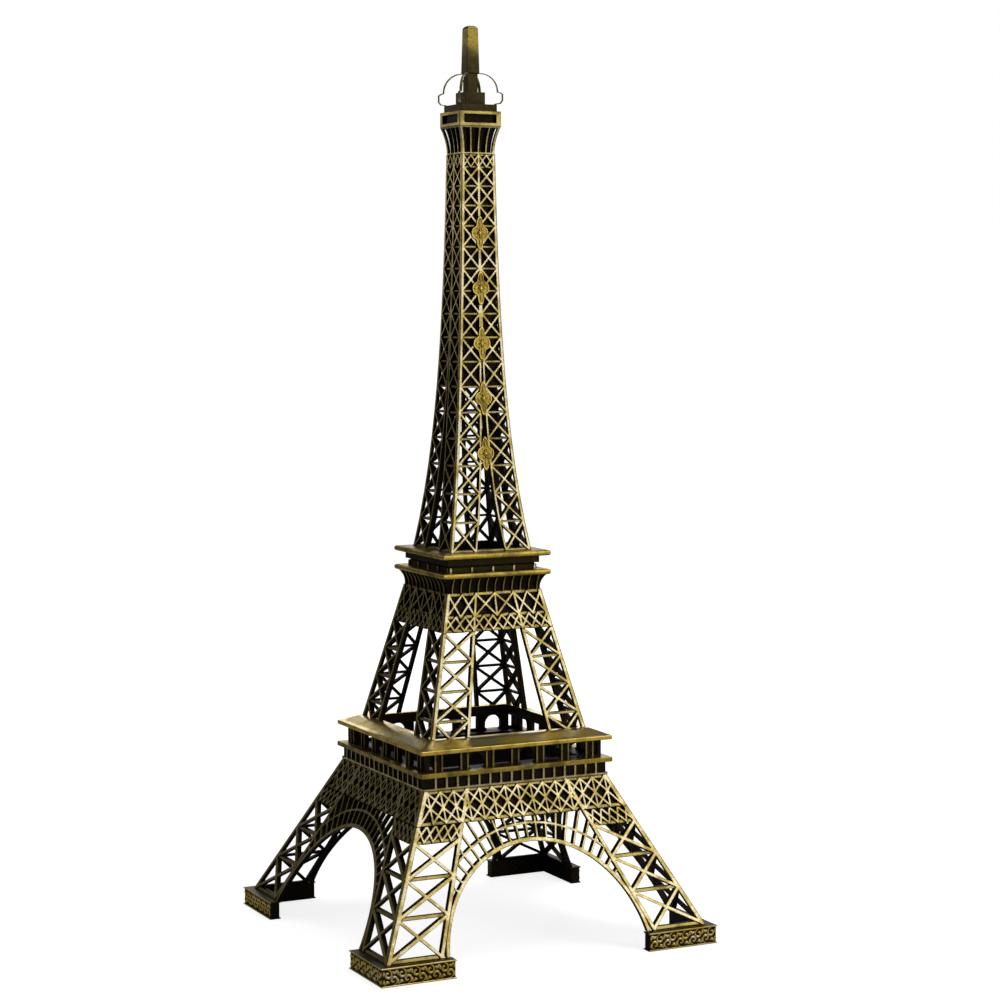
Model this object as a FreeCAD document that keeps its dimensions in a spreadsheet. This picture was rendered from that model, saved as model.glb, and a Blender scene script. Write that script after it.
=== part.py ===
"""Miniature lattice tower: a free-standing cast-metal model, 320 mm tall.

The tower stands on the XY plane with its axis on Z, and its front faces -Y.
Every level has a square plan and four equal sides. The sloped lattice walls are
separate castings, mitred where they meet on the diagonals, and they stand on
plinths, floor plates and slabs that close each storey.
"""
import FreeCAD, Part
import math
import os

import Sketcher
from FreeCAD import Placement, Rotation, Vector

os.makedirs("parts", exist_ok=True)
doc = FreeCAD.newDocument("lattice_tower")

# --------------------------------------------------------------------------
# Driving dimensions, in millimetres unless a note says otherwise
# --------------------------------------------------------------------------
# Levels are heights above the floor. A half is half the width of a square plan.
DIMENSIONS = (
    ("plinth_top", 6.4, "level where the legs stand on the plinths"),
    ("leg_top", 46.6, "level of the top of the leg castings"),
    ("frieze_top", 57.4, "level of the top of the lower frieze"),
    ("ledge_bottom", 62.0, "underside of the first floor ledge"),
    ("ledge_top", 63.6, "top of the first floor ledge"),
    ("deck_bottom", 69.9, "underside of the first floor deck"),
    ("deck_rim_top", 71.4, "top of the first floor deck's rim"),
    ("deck_top", 73.7, "top of the deck's raised inner part"),
    ("midleg_top", 109.0, "level of the top of the upper leg castings"),
    ("midfrieze_top", 122.4, "level of the top of the upper frieze"),
    ("cove_top", 127.6, "top of the ribbed cove under the second floor"),
    ("slab_top", 129.5, "top of the second floor's lower slab"),
    ("wall_step", 131.8, "level where the second floor wall steps out"),
    ("wall_top", 134.3, "underside of the second floor's upper slab"),
    ("shaft_bottom", 136.2, "level where the shaft stands on the slab"),
    ("shaft_top", 275.2, "top of the shaft"),
    ("cage_top", 284.8, "top of the flared cage"),
    ("lantern_top", 290.0, "top of the lantern gallery"),
    ("roof_top", 292.4, "top of the lantern roof"),
    ("block_top", 296.8, "top of the roof block"),
    ("neck_top", 303.5, "top of the neck under the spire"),
    ("spire_top", 320.0, "tip of the spire"),
    ("foot_half", 64.0, "outer face of the plinths"),
    ("plinth_arm", 27.3, "length of a plinth's arm"),
    ("plinth_width", 4.2, "width of a plinth's arm"),
    ("plinth_round", 0.6, "rounding of a plinth's edges"),
    ("leg_half_low", 61.0, "outer face of the legs at the plinth top"),
    ("leg_half_high", 35.5, "outer face of the frieze at its top"),
    ("leg_inner_low", 40.8, "middle of a leg's inner post at the plinth top"),
    ("leg_inner_high", 18.9, "middle of a leg's inner post at the frieze top"),
    ("arch_radius", 38.8, "middle radius of the heavy arch ring"),
    ("arch_centre", 0.5, "height of the arch's centre"),
    ("arch_upper_radius", 44.1, "middle radius of the light arch ring"),
    ("arch_ring", 1.3, "width of the heavy arch ring"),
    ("cornice_half", 35.2, "wall behind the cornice bars"),
    ("cornice_bars", 16, "number of cornice bars on a side"),
    ("ledge_half", 37.0, "outer face of the ledge"),
    ("gallery_half", 34.0, "outer face of the first floor gallery wall"),
    ("gallery_pitch", 9.75, "distance between gallery windows"),
    ("gallery_window", 6.5, "width of a gallery window"),
    ("deck_half", 36.9, "outer face of the deck"),
    ("deck_crest_half", 30.8, "where the deck's slope meets its raised inner part"),
    ("well_half", 27.9, "half of the square well through the first floor"),
    ("midleg_half_low", 30.0, "outer face of the upper legs at the deck"),
    ("midleg_half_high", 18.4, "outer face of the upper frieze at its top"),
    ("midleg_inner_low", 15.9, "middle of an upper leg's inner post at the deck"),
    ("midleg_inner_high", 7.2, "middle of its inner post at the upper frieze top"),
    ("cove_half", 20.2, "outer face of the cove at its top"),
    ("slab_half", 20.95, "outer face of the second floor slabs"),
    ("slab_round", 0.8, "rounding of the slabs' rims"),
    ("wall_half", 16.6, "outer face of the second floor wall"),
    ("wall_out_half", 17.9, "outer face of the wall above its step"),
    ("shaft_well_half", 12.6, "half of the square well through the second floor"),
    ("shaft_core", 5.6, "half width that the shaft narrows towards"),
    ("shaft_flare", 10.2, "widening of the shaft at its foot"),
    ("shaft_decay", 56.5, "height over which the widening falls to 1/e"),
    ("shaft_gap", 5.9, "middle of the shaft's inner posts at its foot"),
    ("shaft_gap_decay", 29.0, "height over which the posts close to 1/e"),
    ("shaft_rows", 16, "number of crossed rows on the shaft"),
    ("shaft_row_low", 10.2, "height of the lowest crossed row"),
    ("shaft_row_high", 6.6, "height of the highest crossed row"),
    ("cage_half_low", 6.3, "outer face of the cage at its foot"),
    ("lantern_half", 8.05, "outer face of the lantern gallery"),
    ("roof_half", 7.0, "outer face of the lantern roof"),
    ("block_half", 3.9, "outer face of the roof block"),
    ("neck_half", 1.95, "outer face of the neck"),
    ("spire_half_low", 2.45, "outer face of the spire at its foot"),
    ("spire_half_high", 2.05, "outer face of the spire near its tip"),
    ("crown_radius", 6.6, "radius of a crown rib's arc"),
    ("crown_shoulder", 1.8, "how far a crown rib steps out at its shoulder"),
    ("crown_bend", 0.8, "size of the bends at a crown rib's shoulder and foot"),
    ("crown_width", 1.0, "width of a crown rib's strip"),
    ("crown_thick", 0.3, "thickness of a crown rib's strip"),
    ("band_height", 4.9, "height of the small diamond band on a lower leg"),
    ("foot_rail", 0.6, "middle of a leg's lowest rail above the plinth"),
    ("cell_growth", 1.06, "ratio of a leg cell's height to the one above"),
    ("frieze_pitch", 4.9, "distance between the lower frieze's uprights"),
    ("arch_step", 5, "angle between the arch's radial bars, in degrees"),
    ("half_cell", 5.6, "height of the half cell at an upper leg's foot"),
    ("mid_band", 4.7, "height of the upper frieze's lower band"),
    ("corner_post", 1.6, "width of a lower corner post"),
    ("inner_post", 1.3, "width of a lower inner post"),
    ("leg_bar", 1.1, "width of a leg's crossed bars"),
    ("fine_bar", 0.75, "width of the frieze and shaft bars"),
    ("rail_width", 1.1, "width of the friezes' rails"),
    ("mid_post", 1.4, "width of a middle corner post"),
    ("mid_inner_post", 1.1, "width of a middle inner post"),
    ("mid_bar", 0.9, "width of a middle leg's crossed bars"),
    ("shaft_post", 1.15, "width of a shaft corner post"),
    ("cage_post", 1.0, "width of a cage corner post"),
    ("cage_bar", 0.6, "width of the cage's bars and rails"),
    ("panel_depth", 1.9, "depth of the lower and middle castings"),
    ("shaft_depth", 2.1, "depth of the shaft and cage castings"),
    ("rail_recess", 0.5, "how far the rails lie behind the crossed bars"),
    ("plate_recess", 1.2, "how far a closing plate lies behind the crossed bars"),
    ("bar_relief", 0.55, "how far the cornice bars stand out"),
    ("cornice_bar", 0.8, "width of a cornice bar"),
    ("gallery_wall", 1.4, "thickness of the gallery wall"),
    ("gallery_sill", 0.8, "height of the gallery's sill and of its lintel"),
    ("pier_strip", 0.7, "width of a raised strip on a gallery pier"),
    ("pier_relief", 0.35, "how far the strips on the gallery piers stand out"),
    ("cove_relief", 0.35, "how far the cove's ribs stand out, and its hollows in"),
    ("cove_rib", 0.55, "width of a cove rib"),
    ("cove_pitch", 3.3, "distance between cove ribs"),
    ("stud_width", 0.9, "width of a stud on the second floor wall"),
    ("stud_relief", 0.7, "how far a stud stands out"),
    ("stud_height", 1.7, "height of a stud"),
    ("stud_pitch", 8.2, "distance between studs"),
    ("lantern_rim", 1.2, "height of the lantern's top and bottom rims"),
    ("lantern_post", 1.9, "width of a lantern corner post"),
    ("lantern_wall", 1.8, "thickness of the lantern's wall"),
    ("lantern_recess", 1.1, "how far the lantern's windows lie behind its face"),
    ("ornament_lowest", 170.4, "level of the lowest rosette's middle"),
    ("ornament_pitch", 19.3, "distance between rosettes"),
    ("ornament_width", 6.6, "width of a shaft rosette"),
    ("ornament_height", 12.0, "height of a shaft rosette"),
    ("ornament_relief", 0.7, "how far a rosette stands out"),
)

sheet = doc.addObject("Spreadsheet::Sheet", "sheet")
for row, (alias, value, note) in enumerate(DIMENSIONS, start=1):
    sheet.set(f"A{row}", str(value))
    sheet.setAlias(f"A{row}", alias)
    sheet.set(f"B{row}", note)
doc.recompute()


def size(alias):
    """The number in the sheet's cell of this name."""
    return float(sheet.get(alias))


# A bounding length, longer than any reach across the tower
REACH = 200.0
# The four sides, by the turn from the front, counter-clockwise seen from above
SIDES = {"front": 0, "right": 90, "back": 180, "left": 270}
# The four corners, by the turn from the front left corner
CORNERS = {"front_left": 0, "front_right": 90, "back_right": 180, "back_left": 270}
# The two hands of a side, as seen from outside it
HANDS = {"left": -1, "right": 1}

nodes = []


def add_feature(name, shape, turn=0):
    """Adds a finished shape as a named sub-part, turned about the tower's axis."""
    feature = doc.addObject("Part::Feature", name)
    feature.Label = name
    feature.Shape = shape
    feature.Placement = Placement(Vector(0, 0, 0), Rotation(Vector(0, 0, 1), turn))
    nodes.append(feature)
    return feature


# --------------------------------------------------------------------------
# Elevations: flat bars drawn on the XZ plane, then cut to the sloped walls
# --------------------------------------------------------------------------
def line_between(z_low, value_low, z_high, value_high):
    """A straight line's value at any height, from its values at two heights."""
    slope = (value_high - value_low) / (z_high - z_low)
    return lambda z: value_low + slope * (z - z_low)


def polygon(points):
    """A flat face on the XZ plane."""
    corners = [Vector(x, 0, z) for x, z in points]
    return Part.Face(Part.makePolygon(corners + corners[:1]))


def bar(start, end, width):
    """A flat bar along a straight line, with square ends half its width past them."""
    run_x = end[0] - start[0]
    run_z = end[1] - start[1]
    length = math.hypot(run_x, run_z)
    half_x = run_x / length * width / 2
    half_z = run_z / length * width / 2
    return polygon(
        (
            (start[0] - half_x + half_z, start[1] - half_z - half_x),
            (end[0] + half_x + half_z, end[1] + half_z - half_x),
            (end[0] + half_x - half_z, end[1] + half_z + half_x),
            (start[0] - half_x - half_z, start[1] - half_z + half_x),
        )
    )


def post(line, z_low, z_high, width):
    """A bar that follows a line of x over height."""
    return bar((line(z_low), z_low), (line(z_high), z_high), width)


def rail(left, right, z, width):
    """A level bar between two lines of x over height."""
    return bar((left(z), z), (right(z), z), width)


def field(left, right, z_low, z_high):
    """The whole area between two lines and two levels."""
    return polygon(
        ((left(z_low), z_low), (right(z_low), z_low), (right(z_high), z_high), (left(z_high), z_high))
    )


def full_width(z_low, z_high):
    """An area wider than any side of the tower, for its wall slab to trim."""
    return field(lambda z: -REACH / 2, lambda z: REACH / 2, z_low, z_high)


def cross(left, right, z_low, z_high, width):
    """Two crossed bars that fill the cell between two lines and two levels."""
    return [
        bar((left(z_low), z_low), (right(z_high), z_high), width),
        bar((right(z_low), z_low), (left(z_high), z_high), width),
    ]


def between(left, right, share):
    """The line that lies a share of the way from one line to another."""
    return lambda z: left(z) + share * (right(z) - left(z))


def cross_row(left, right, z_low, z_high, count, width):
    """A row of crossed cells, equally wide at each height."""
    lines = [between(left, right, step / count) for step in range(count + 1)]
    bars = []
    for near, far in zip(lines, lines[1:]):
        bars += cross(near, far, z_low, z_high, width)
    return bars


def mirrored(line):
    """The same line on the other side of the axis."""
    return lambda z: -line(z)


def ring(radius, centre, width):
    """A flat ring about a point on the axis."""
    outer, inner = (
        Part.Wire(Part.Circle(Vector(0, 0, centre), Vector(0, 1, 0), radius + step).toShape())
        for step in (width / 2, -width / 2)
    )
    return Part.Face(outer).cut(Part.Face(inner))


def united(faces):
    """One flat shape from overlapping faces."""
    return faces[0].multiFuse(faces[1:]).removeSplitter()


def square_block(half, low, high):
    """A square block about the axis, from one level to another."""
    return Part.makeBox(2 * half, 2 * half, high - low, Vector(-half, -half, low))


def both_ways(shape):
    """A shape and its quarter turn about the axis."""
    turned = shape.copy()
    turned.rotate(Vector(0, 0, 0), Vector(0, 0, 1), 90)
    return [shape, turned]


def wall_slab(profile, front, back):
    """The front wall between two depths behind its outer face, mitred at both ends.

    profile is a list of (height, half width) from the bottom up.
    """
    outline = [Vector(0, front - half, z) for z, half in profile]
    outline += [Vector(0, back - half, z) for z, half in reversed(profile)]
    section = Part.Face(Part.makePolygon(outline + outline[:1]))
    section.translate(Vector(-REACH, 0, 0))
    slab = section.extrude(Vector(2 * REACH, 0, 0))
    mitre = Part.makePolygon(
        [Vector(0, 0, 0), Vector(-REACH, -REACH, 0), Vector(REACH, -REACH, 0), Vector(0, 0, 0)]
    )
    wedge = Part.Face(mitre).extrude(Vector(0, 0, 2 * REACH))
    return slab.common(wedge)


def cast(flat, slab):
    """The solid where a flat elevation passes through a wall slab."""
    moved = flat.copy()
    moved.translate(Vector(0, -REACH, 0))
    return moved.extrude(Vector(0, REACH, 0)).common(slab)


def one_solid(shape, name):
    """The only solid of a shape."""
    solids = shape.removeSplitter().Solids
    if len(solids) != 1:
        raise ValueError(f"{name} came out as {len(solids)} solids")
    return solids[0]


def lattice(name, proud, recessed, profile, depth, closed=()):
    """A lattice casting: proud bars at the outer face, recessed bars behind it.

    closed lists the flat elevations where a plate behind the bars closes the casting.
    """
    layers = [cast(united(recessed), wall_slab(profile, size("rail_recess"), depth))]
    for flat in closed:
        layers.append(cast(flat, wall_slab(profile, size("plate_recess"), depth)))
    front_layer = cast(united(proud), wall_slab(profile, 0, depth))
    return one_solid(front_layer.multiFuse(layers), name)


# --------------------------------------------------------------------------
# Lower storey: legs, friezes and arches
# --------------------------------------------------------------------------
LEG_FACE = line_between(
    size("plinth_top"), size("leg_half_low"), size("frieze_top"), size("leg_half_high")
)
LEG_INNER = line_between(
    size("plinth_top"), size("leg_inner_low"), size("frieze_top"), size("leg_inner_high")
)


# Crossed cells on a lower leg, and small ones in the band above them
LEG_CELLS = 3
LEG_BAND_CELLS = 5
# Uprights of the lower frieze on each side of its middle one
FRIEZE_UPRIGHTS = 7
# Radial bars of the arch on each side of its middle one
ARCH_BARS = 10
# How far a post is drawn past the ends of its wall, before the wall's slab trims it
SPARE = 1.0


def corner_line(face, width):
    """The middle of a corner post whose outer edge lies on the corner."""
    return lambda z: face(z) - width / 2


def straight_profile(face, z_low, z_high):
    """The two ends of a straight sloped wall."""
    return [(z_low, face(z_low)), (z_high, face(z_high))]


def growing_levels(top, bottom, count, growth):
    """Levels from the top down, where each cell is taller than the last by a ratio."""
    first = (top - bottom) * (growth - 1) / (growth ** count - 1)
    levels = [top]
    for step in range(count):
        levels.append(levels[-1] - first * growth ** step)
    return levels


def lower_leg(name, hand):
    """One side of a lower leg: three crossed cells under a small diamond band."""
    low = size("plinth_top")
    top = size("leg_top")
    corner = corner_line(LEG_FACE, size("corner_post"))
    outer = (lambda z: hand * corner(z))
    inner = (lambda z: hand * LEG_INNER(z))
    bar_width = size("leg_bar")
    fine = size("fine_bar")
    foot_rail = low + size("foot_rail")
    levels = growing_levels(top - size("band_height"), foot_rail, LEG_CELLS, size("cell_growth"))
    proud = [
        post(outer, low - SPARE, top + SPARE, size("corner_post")),
        post(inner, low - SPARE, top + SPARE, size("inner_post")),
    ]
    for high, down in zip(levels, levels[1:]):
        proud += cross(outer, inner, down, high, bar_width)
    proud += cross_row(outer, inner, levels[0], top, LEG_BAND_CELLS, fine)
    recessed = [rail(outer, inner, z, bar_width) for z in levels]
    profile = straight_profile(LEG_FACE, low, top)
    closed = [field(outer, inner, levels[0], top)]
    return lattice(name, proud, recessed, profile, size("panel_depth"), closed)


def lower_frieze(name):
    """The band that ties the legs: uprights with double crossed bars."""
    low = size("leg_top")
    top = size("frieze_top")
    fine = size("fine_bar")
    corner = corner_line(LEG_FACE, size("corner_post"))
    rail_low = low + size("rail_width") / 2
    rail_top = top - size("rail_width") / 2
    pitch = size("frieze_pitch")
    proud = []
    for hand in HANDS.values():
        outer = (lambda z: hand * corner(z))
        inner = (lambda z: hand * LEG_INNER(z))
        proud.append(post(outer, low - SPARE, top + SPARE, size("corner_post")))
        proud.append(post(inner, low - SPARE, top + SPARE, size("inner_post")))
    for step in range(-FRIEZE_UPRIGHTS, FRIEZE_UPRIGHTS + 1):
        proud.append(bar((step * pitch, rail_low), (step * pitch, rail_top), fine))
        for run in (-1, 1):
            start = ((step - run) * pitch, rail_low)
            end = ((step + run) * pitch, rail_top)
            proud.append(bar(start, end, fine))
    left = mirrored(corner)
    recessed = [rail(left, corner, z, size("rail_width")) for z in (rail_low, rail_top)]
    profile = straight_profile(LEG_FACE, low, top)
    closed = [full_width(low, top)]
    return lattice(name, proud, recessed, profile, size("panel_depth"), closed)


def arch(name):
    """The arch between two legs: a heavy ring, a light ring and radial bars."""
    low = size("plinth_top")
    top = size("leg_top")
    centre = size("arch_centre")
    radius = size("arch_radius")
    lean = LEG_INNER(0) - LEG_INNER(1)
    half_post = size("inner_post") / 2 * math.hypot(1, lean)
    edge = (lambda z: LEG_INNER(z) - half_post)
    opening = polygon(((-edge(low), low), (edge(low), low), (edge(top), top), (-edge(top), top)))
    heavy = ring(radius, centre, size("arch_ring"))
    light = ring(size("arch_upper_radius"), centre, size("fine_bar"))
    bars = []
    for step in range(-ARCH_BARS, ARCH_BARS + 1):
        angle = math.radians(step * size("arch_step"))
        start = (radius * math.sin(angle), centre + radius * math.cos(angle))
        end = (2 * start[0], 2 * start[1] - centre)
        bars.append(bar(start, end, size("fine_bar")))
    wall = wall_slab(straight_profile(LEG_FACE, low, top), 0, size("panel_depth"))
    slab = cast(opening, wall)
    pieces = [cast(flat, slab) for flat in (heavy, light, united(bars))]
    return one_solid(pieces[0].multiFuse(pieces[1:]), name)


def turned_set(base, make):
    """Adds one casting on each of the four sides, turned from the front one."""
    shape = make(base)
    for side, turn in SIDES.items():
        add_feature(f"{base}_{side}", shape, turn)


turned_set("arch", arch)
turned_set("frieze", lower_frieze)
for hand_name, hand_sign in HANDS.items():
    leg_shape = lower_leg("leg", hand_sign)
    for side, turn in SIDES.items():
        add_feature(f"leg_{side}_{hand_name}", leg_shape, turn)


# --------------------------------------------------------------------------
# Middle storey: upper legs and their frieze
# --------------------------------------------------------------------------
MID_FACE = line_between(
    size("deck_top"), size("midleg_half_low"), size("midfrieze_top"), size("midleg_half_high")
)
MID_INNER = line_between(
    size("deck_top"), size("midleg_inner_low"), size("midfrieze_top"), size("midleg_inner_high")
)
# Crossed cells on an upper leg
MID_LEG_CELLS = 3
# Cells of the upper frieze's lower band, over a leg and between the legs
MID_BAND_CELLS = (3, 5)
# Cells of its upper band, over a leg and between the legs
MID_TALL_CELLS = (2, 2)


def middle_leg(name, hand):
    """One side of an upper leg: three crossed cells over a half cell."""
    low = size("deck_top")
    top = size("midleg_top")
    corner = corner_line(MID_FACE, size("mid_post"))
    outer = (lambda z: hand * corner(z))
    inner = (lambda z: hand * MID_INNER(z))
    centre = between(outer, inner, 0.5)
    half_cell_top = low + size("half_cell")
    cell_height = (top - half_cell_top) / MID_LEG_CELLS
    levels = [half_cell_top + step * cell_height for step in range(MID_LEG_CELLS + 1)]
    bar_width = size("mid_bar")
    proud = [
        post(outer, low - SPARE, top + SPARE, size("mid_post")),
        post(inner, low - SPARE, top + SPARE, size("mid_inner_post")),
    ]
    for down, high in zip(levels, levels[1:]):
        proud += cross(outer, inner, down, high, bar_width)
    for line in (outer, inner):
        proud.append(bar((centre(low), low), (line(half_cell_top), half_cell_top), bar_width))
    recessed = [rail(outer, inner, z, bar_width) for z in levels[:-1]]
    profile = straight_profile(MID_FACE, low, top)
    return lattice(name, proud, recessed, profile, size("panel_depth"))


def middle_frieze(name):
    """Two bands between the upper legs: tall crossed cells over small ones."""
    low = size("midleg_top")
    top = size("midfrieze_top")
    corner = corner_line(MID_FACE, size("mid_post"))
    half_rail = size("rail_width") / 2
    levels = (low + half_rail, low + half_rail + size("mid_band"), top - half_rail)
    bands = (
        (levels[0], levels[1], MID_BAND_CELLS),
        (levels[1], levels[2], MID_TALL_CELLS),
    )
    fine = size("fine_bar")
    proud = []
    for hand in HANDS.values():
        outer = (lambda z: hand * corner(z))
        inner = (lambda z: hand * MID_INNER(z))
        proud.append(post(outer, low - SPARE, top + SPARE, size("mid_post")))
        proud.append(post(inner, low - SPARE, top + SPARE, size("mid_bar")))
        for down, high, (over_leg, over_gap) in bands:
            proud += cross_row(outer, inner, down, high, over_leg, fine)
    for down, high, (over_leg, over_gap) in bands:
        proud += cross_row(mirrored(MID_INNER), MID_INNER, down, high, over_gap, fine)
    proud.append(bar((0, levels[1]), (0, levels[2]), fine))
    recessed = [rail(mirrored(corner), corner, z, size("rail_width")) for z in levels]
    profile = straight_profile(MID_FACE, low, top)
    closed = [full_width(low, top)]
    return lattice(name, proud, recessed, profile, size("panel_depth"), closed)


turned_set("mid_frieze", middle_frieze)
for hand_name, hand_sign in HANDS.items():
    leg_shape = middle_leg("mid_leg", hand_sign)
    for side, turn in SIDES.items():
        add_feature(f"mid_leg_{side}_{hand_name}", leg_shape, turn)


# --------------------------------------------------------------------------
# Shaft: four tall curved castings, and rosettes on the front one
# --------------------------------------------------------------------------
def shaft_face(z):
    """Half width of the shaft, which falls off exponentially with height."""
    rise = z - size("shaft_bottom")
    return size("shaft_core") + size("shaft_flare") * math.exp(-rise / size("shaft_decay"))


def shaft_inner(z):
    """Middle of an inner post, which closes on the axis with height."""
    rise = z - size("shaft_bottom")
    return size("shaft_gap") * math.exp(-rise / size("shaft_gap_decay"))


def shaft_levels():
    """Levels of the rails, in rows that get shorter at a steady rate."""
    rows = int(size("shaft_rows"))
    low = size("shaft_row_low")
    high = size("shaft_row_high")
    levels = [size("shaft_bottom")]
    for step in range(rows):
        levels.append(levels[-1] + low + (high - low) * step / (rows - 1))
    return levels


def shaft_profile(levels):
    """The shaft's outer face as short straight runs, one to a row."""
    return [(z, shaft_face(z)) for z in levels + [size("shaft_top")]]


# Small cells over each crossed column, at the shaft's head
SHAFT_BAND_CELLS = 2
# Rows of the shaft, from its foot, that are open; a plate closes the rows above them
SHAFT_OPEN_ROWS = 6


def shaft_panel(name):
    """A side of the shaft: corner posts, inner posts and two crossed columns."""
    levels = shaft_levels()
    top = size("shaft_top")
    post_width = size("shaft_post")
    fine = size("fine_bar")
    top_rail = top - fine / 2
    corner = corner_line(shaft_face, post_width)
    spans = list(zip(levels, levels[1:] + [top + SPARE]))
    proud = []
    for hand in HANDS.values():
        outer = (lambda z: hand * corner(z))
        inner = (lambda z: hand * shaft_inner(z))
        for low, high in spans:
            proud.append(post(outer, low, high, post_width))
            proud.append(post(inner, low, min(high, top), fine))
        for low, high in zip(levels, levels[1:]):
            proud += cross(outer, inner, low, high, fine)
        proud += cross_row(outer, inner, levels[-1], top_rail, SHAFT_BAND_CELLS, size("cage_bar"))
    recessed = [rail(mirrored(corner), corner, levels[0] + fine / 2, fine)]
    for z in levels[1:] + [top_rail]:
        for hand in HANDS.values():
            outer = (lambda height: hand * corner(height))
            inner = (lambda height: hand * shaft_inner(height))
            recessed.append(rail(outer, inner, z, fine))
    closed = [full_width(levels[SHAFT_OPEN_ROWS], top)]
    return lattice(name, proud, recessed, shaft_profile(levels), size("shaft_depth"), closed)


def rosette_flats(centre_z):
    """A four-pointed star with hollow sides, and a round stud at its middle."""
    half_width = size("ornament_width") / 2
    half_height = size("ornament_height") / 2
    hollow = 0.4
    tips = [(half_width, 0), (0, half_height), (-half_width, 0), (0, -half_height)]
    edges = []
    for start, end in zip(tips, tips[1:] + tips[:1]):
        middle = ((start[0] + end[0]) * hollow, (start[1] + end[1]) * hollow)
        places = [Vector(x, 0, centre_z + z) for x, z in (start, middle, end)]
        edges.append(Part.Arc(*places).toShape())
    stud_share = 0.66
    rim = Part.Circle(Vector(0, 0, centre_z), Vector(0, 1, 0), half_width * stud_share)
    return [Part.Face(Part.Wire(edges)), Part.Face(Part.Wire(rim.toShape()))]


def shaft_rosette(name, centre_z):
    """A raised ornament that lies on the outer face of the front panel."""
    slab = wall_slab(shaft_profile(shaft_levels()), -size("ornament_relief"), 0)
    star, stud = (cast(flat, slab) for flat in rosette_flats(centre_z))
    return one_solid(star.fuse(stud), name)


turned_set("shaft_panel", shaft_panel)
ROSETTES = 5
for order in range(ROSETTES):
    rosette_name = f"shaft_rosette_{order + 1}"
    rosette_z = size("ornament_lowest") + (ROSETTES - 1 - order) * size("ornament_pitch")
    add_feature(rosette_name, shaft_rosette(rosette_name, rosette_z))


# --------------------------------------------------------------------------
# Flared cage under the lantern
# --------------------------------------------------------------------------
def cage_face(z):
    """Half width of the cage: upright at its foot, flaring out with the square."""
    share = (z - size("shaft_top")) / (size("cage_top") - size("shaft_top"))
    return size("cage_half_low") + (size("lantern_half") - size("cage_half_low")) * share ** 2


# Spaces between the upright bars on one side of the cage
CAGE_SPACES = 4


def flared_cage(name):
    """Four flared sides joined at their corner posts, each with three bars on a plate."""
    low = size("shaft_top")
    top = size("cage_top")
    steps = 6
    levels = [low + (top - low) * step / steps for step in range(steps + 1)]
    post_width = size("cage_post")
    thin = size("cage_bar")
    corner = corner_line(cage_face, post_width)
    left = mirrored(corner)
    flats = [rail(left, corner, z, thin) for z in (low + thin / 2, top - thin / 2)]
    for start, end in zip(levels, levels[1:]):
        for place in range(CAGE_SPACES + 1):
            width = post_width if place in (0, CAGE_SPACES) else thin
            flats.append(post(between(left, corner, place / CAGE_SPACES), start, end, width))
    profile = [(z, cage_face(z)) for z in levels]
    bars = cast(united(flats), wall_slab(profile, 0, size("shaft_depth")))
    plate = wall_slab(profile, size("plate_recess"), size("shaft_depth"))
    side = bars.fuse(plate)
    others = []
    for turn in (90, 180, 270):
        copy = side.copy()
        copy.rotate(Vector(0, 0, 0), Vector(0, 0, 1), turn)
        others.append(copy)
    return one_solid(side.multiFuse(others), name)


add_feature("flared_cage", flared_cage("flared_cage"))


# --------------------------------------------------------------------------
# Square plates, slabs and walls, drawn as sketches bound to the sheet
# --------------------------------------------------------------------------
def cell(expression):
    """An expression on the sheet, with each alias prefixed by the sheet's name."""
    names = {alias for alias, value, note in DIMENSIONS}
    words = expression.replace("(", "( ").replace(")", " )").split()
    return " ".join(f"sheet.{word}" if word in names else word for word in words)


def new_body(name):
    """A new body that stands for one sub-part."""
    body = doc.addObject("PartDesign::Body", name)
    body.Label = name
    nodes.append(body)
    return body


def plane(body, role):
    """One of a body's own origin planes."""
    return next(item for item in body.Origin.OriginFeatures if item.Role == role)


def flat_sketch(body, name, level):
    """A sketch parallel to the floor at a level of the sheet."""
    sketch = body.newObject("Sketcher::SketchObject", name)
    sketch.AttachmentSupport = (plane(body, "XY_Plane"), [""])
    sketch.MapMode = "FlatFace"
    sketch.setExpression("AttachmentOffset.Base.z", cell(level))
    return sketch


def draw_square(sketch, half, label):
    """A square about the origin whose width is bound to the sheet."""
    start = sketch.GeometryCount
    guess = 10.0
    corners = ((-guess, -guess), (guess, -guess), (guess, guess), (-guess, guess))
    for here, there in zip(corners, corners[1:] + corners[:1]):
        line = Part.LineSegment(Vector(here[0], here[1], 0), Vector(there[0], there[1], 0))
        sketch.addGeometry(line, False)
    for step in range(4):
        follower = start + (step + 1) % 4
        sketch.addConstraint(Sketcher.Constraint("Coincident", start + step, 2, follower, 1))
    for step in (0, 2):
        sketch.addConstraint(Sketcher.Constraint("Horizontal", start + step))
        sketch.addConstraint(Sketcher.Constraint("Vertical", start + step + 1))
    sketch.addConstraint(Sketcher.Constraint("Symmetric", start, 1, start + 1, 2, -1, 1))
    sketch.addConstraint(Sketcher.Constraint("Equal", start, start + 1))
    width = sketch.addConstraint(Sketcher.Constraint("DistanceX", start, 1, start, 2, 2 * guess))
    sketch.renameConstraint(width, label)
    sketch.setExpression(f"Constraints.{label}", cell(f"2 * ( {half} )"))


def pad(body, sketch, name, length):
    """Pads a sketch upwards by a length from the sheet."""
    feature = body.newObject("PartDesign::Pad", name)
    feature.Profile = sketch
    feature.setExpression("Length", cell(length))
    sketch.Visibility = False
    return feature


def square_ring(name, outer, inner, bottom, top):
    """A square plate from one level to another, with a square well through it."""
    body = new_body(name)
    sketch = flat_sketch(body, f"{name}_outline", bottom)
    draw_square(sketch, outer, "outer_width")
    if inner:
        draw_square(sketch, inner, "inner_width")
    pad(body, sketch, f"{name}_pad", f"( {top} ) - ( {bottom} )")
    doc.recompute()
    return body


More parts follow.
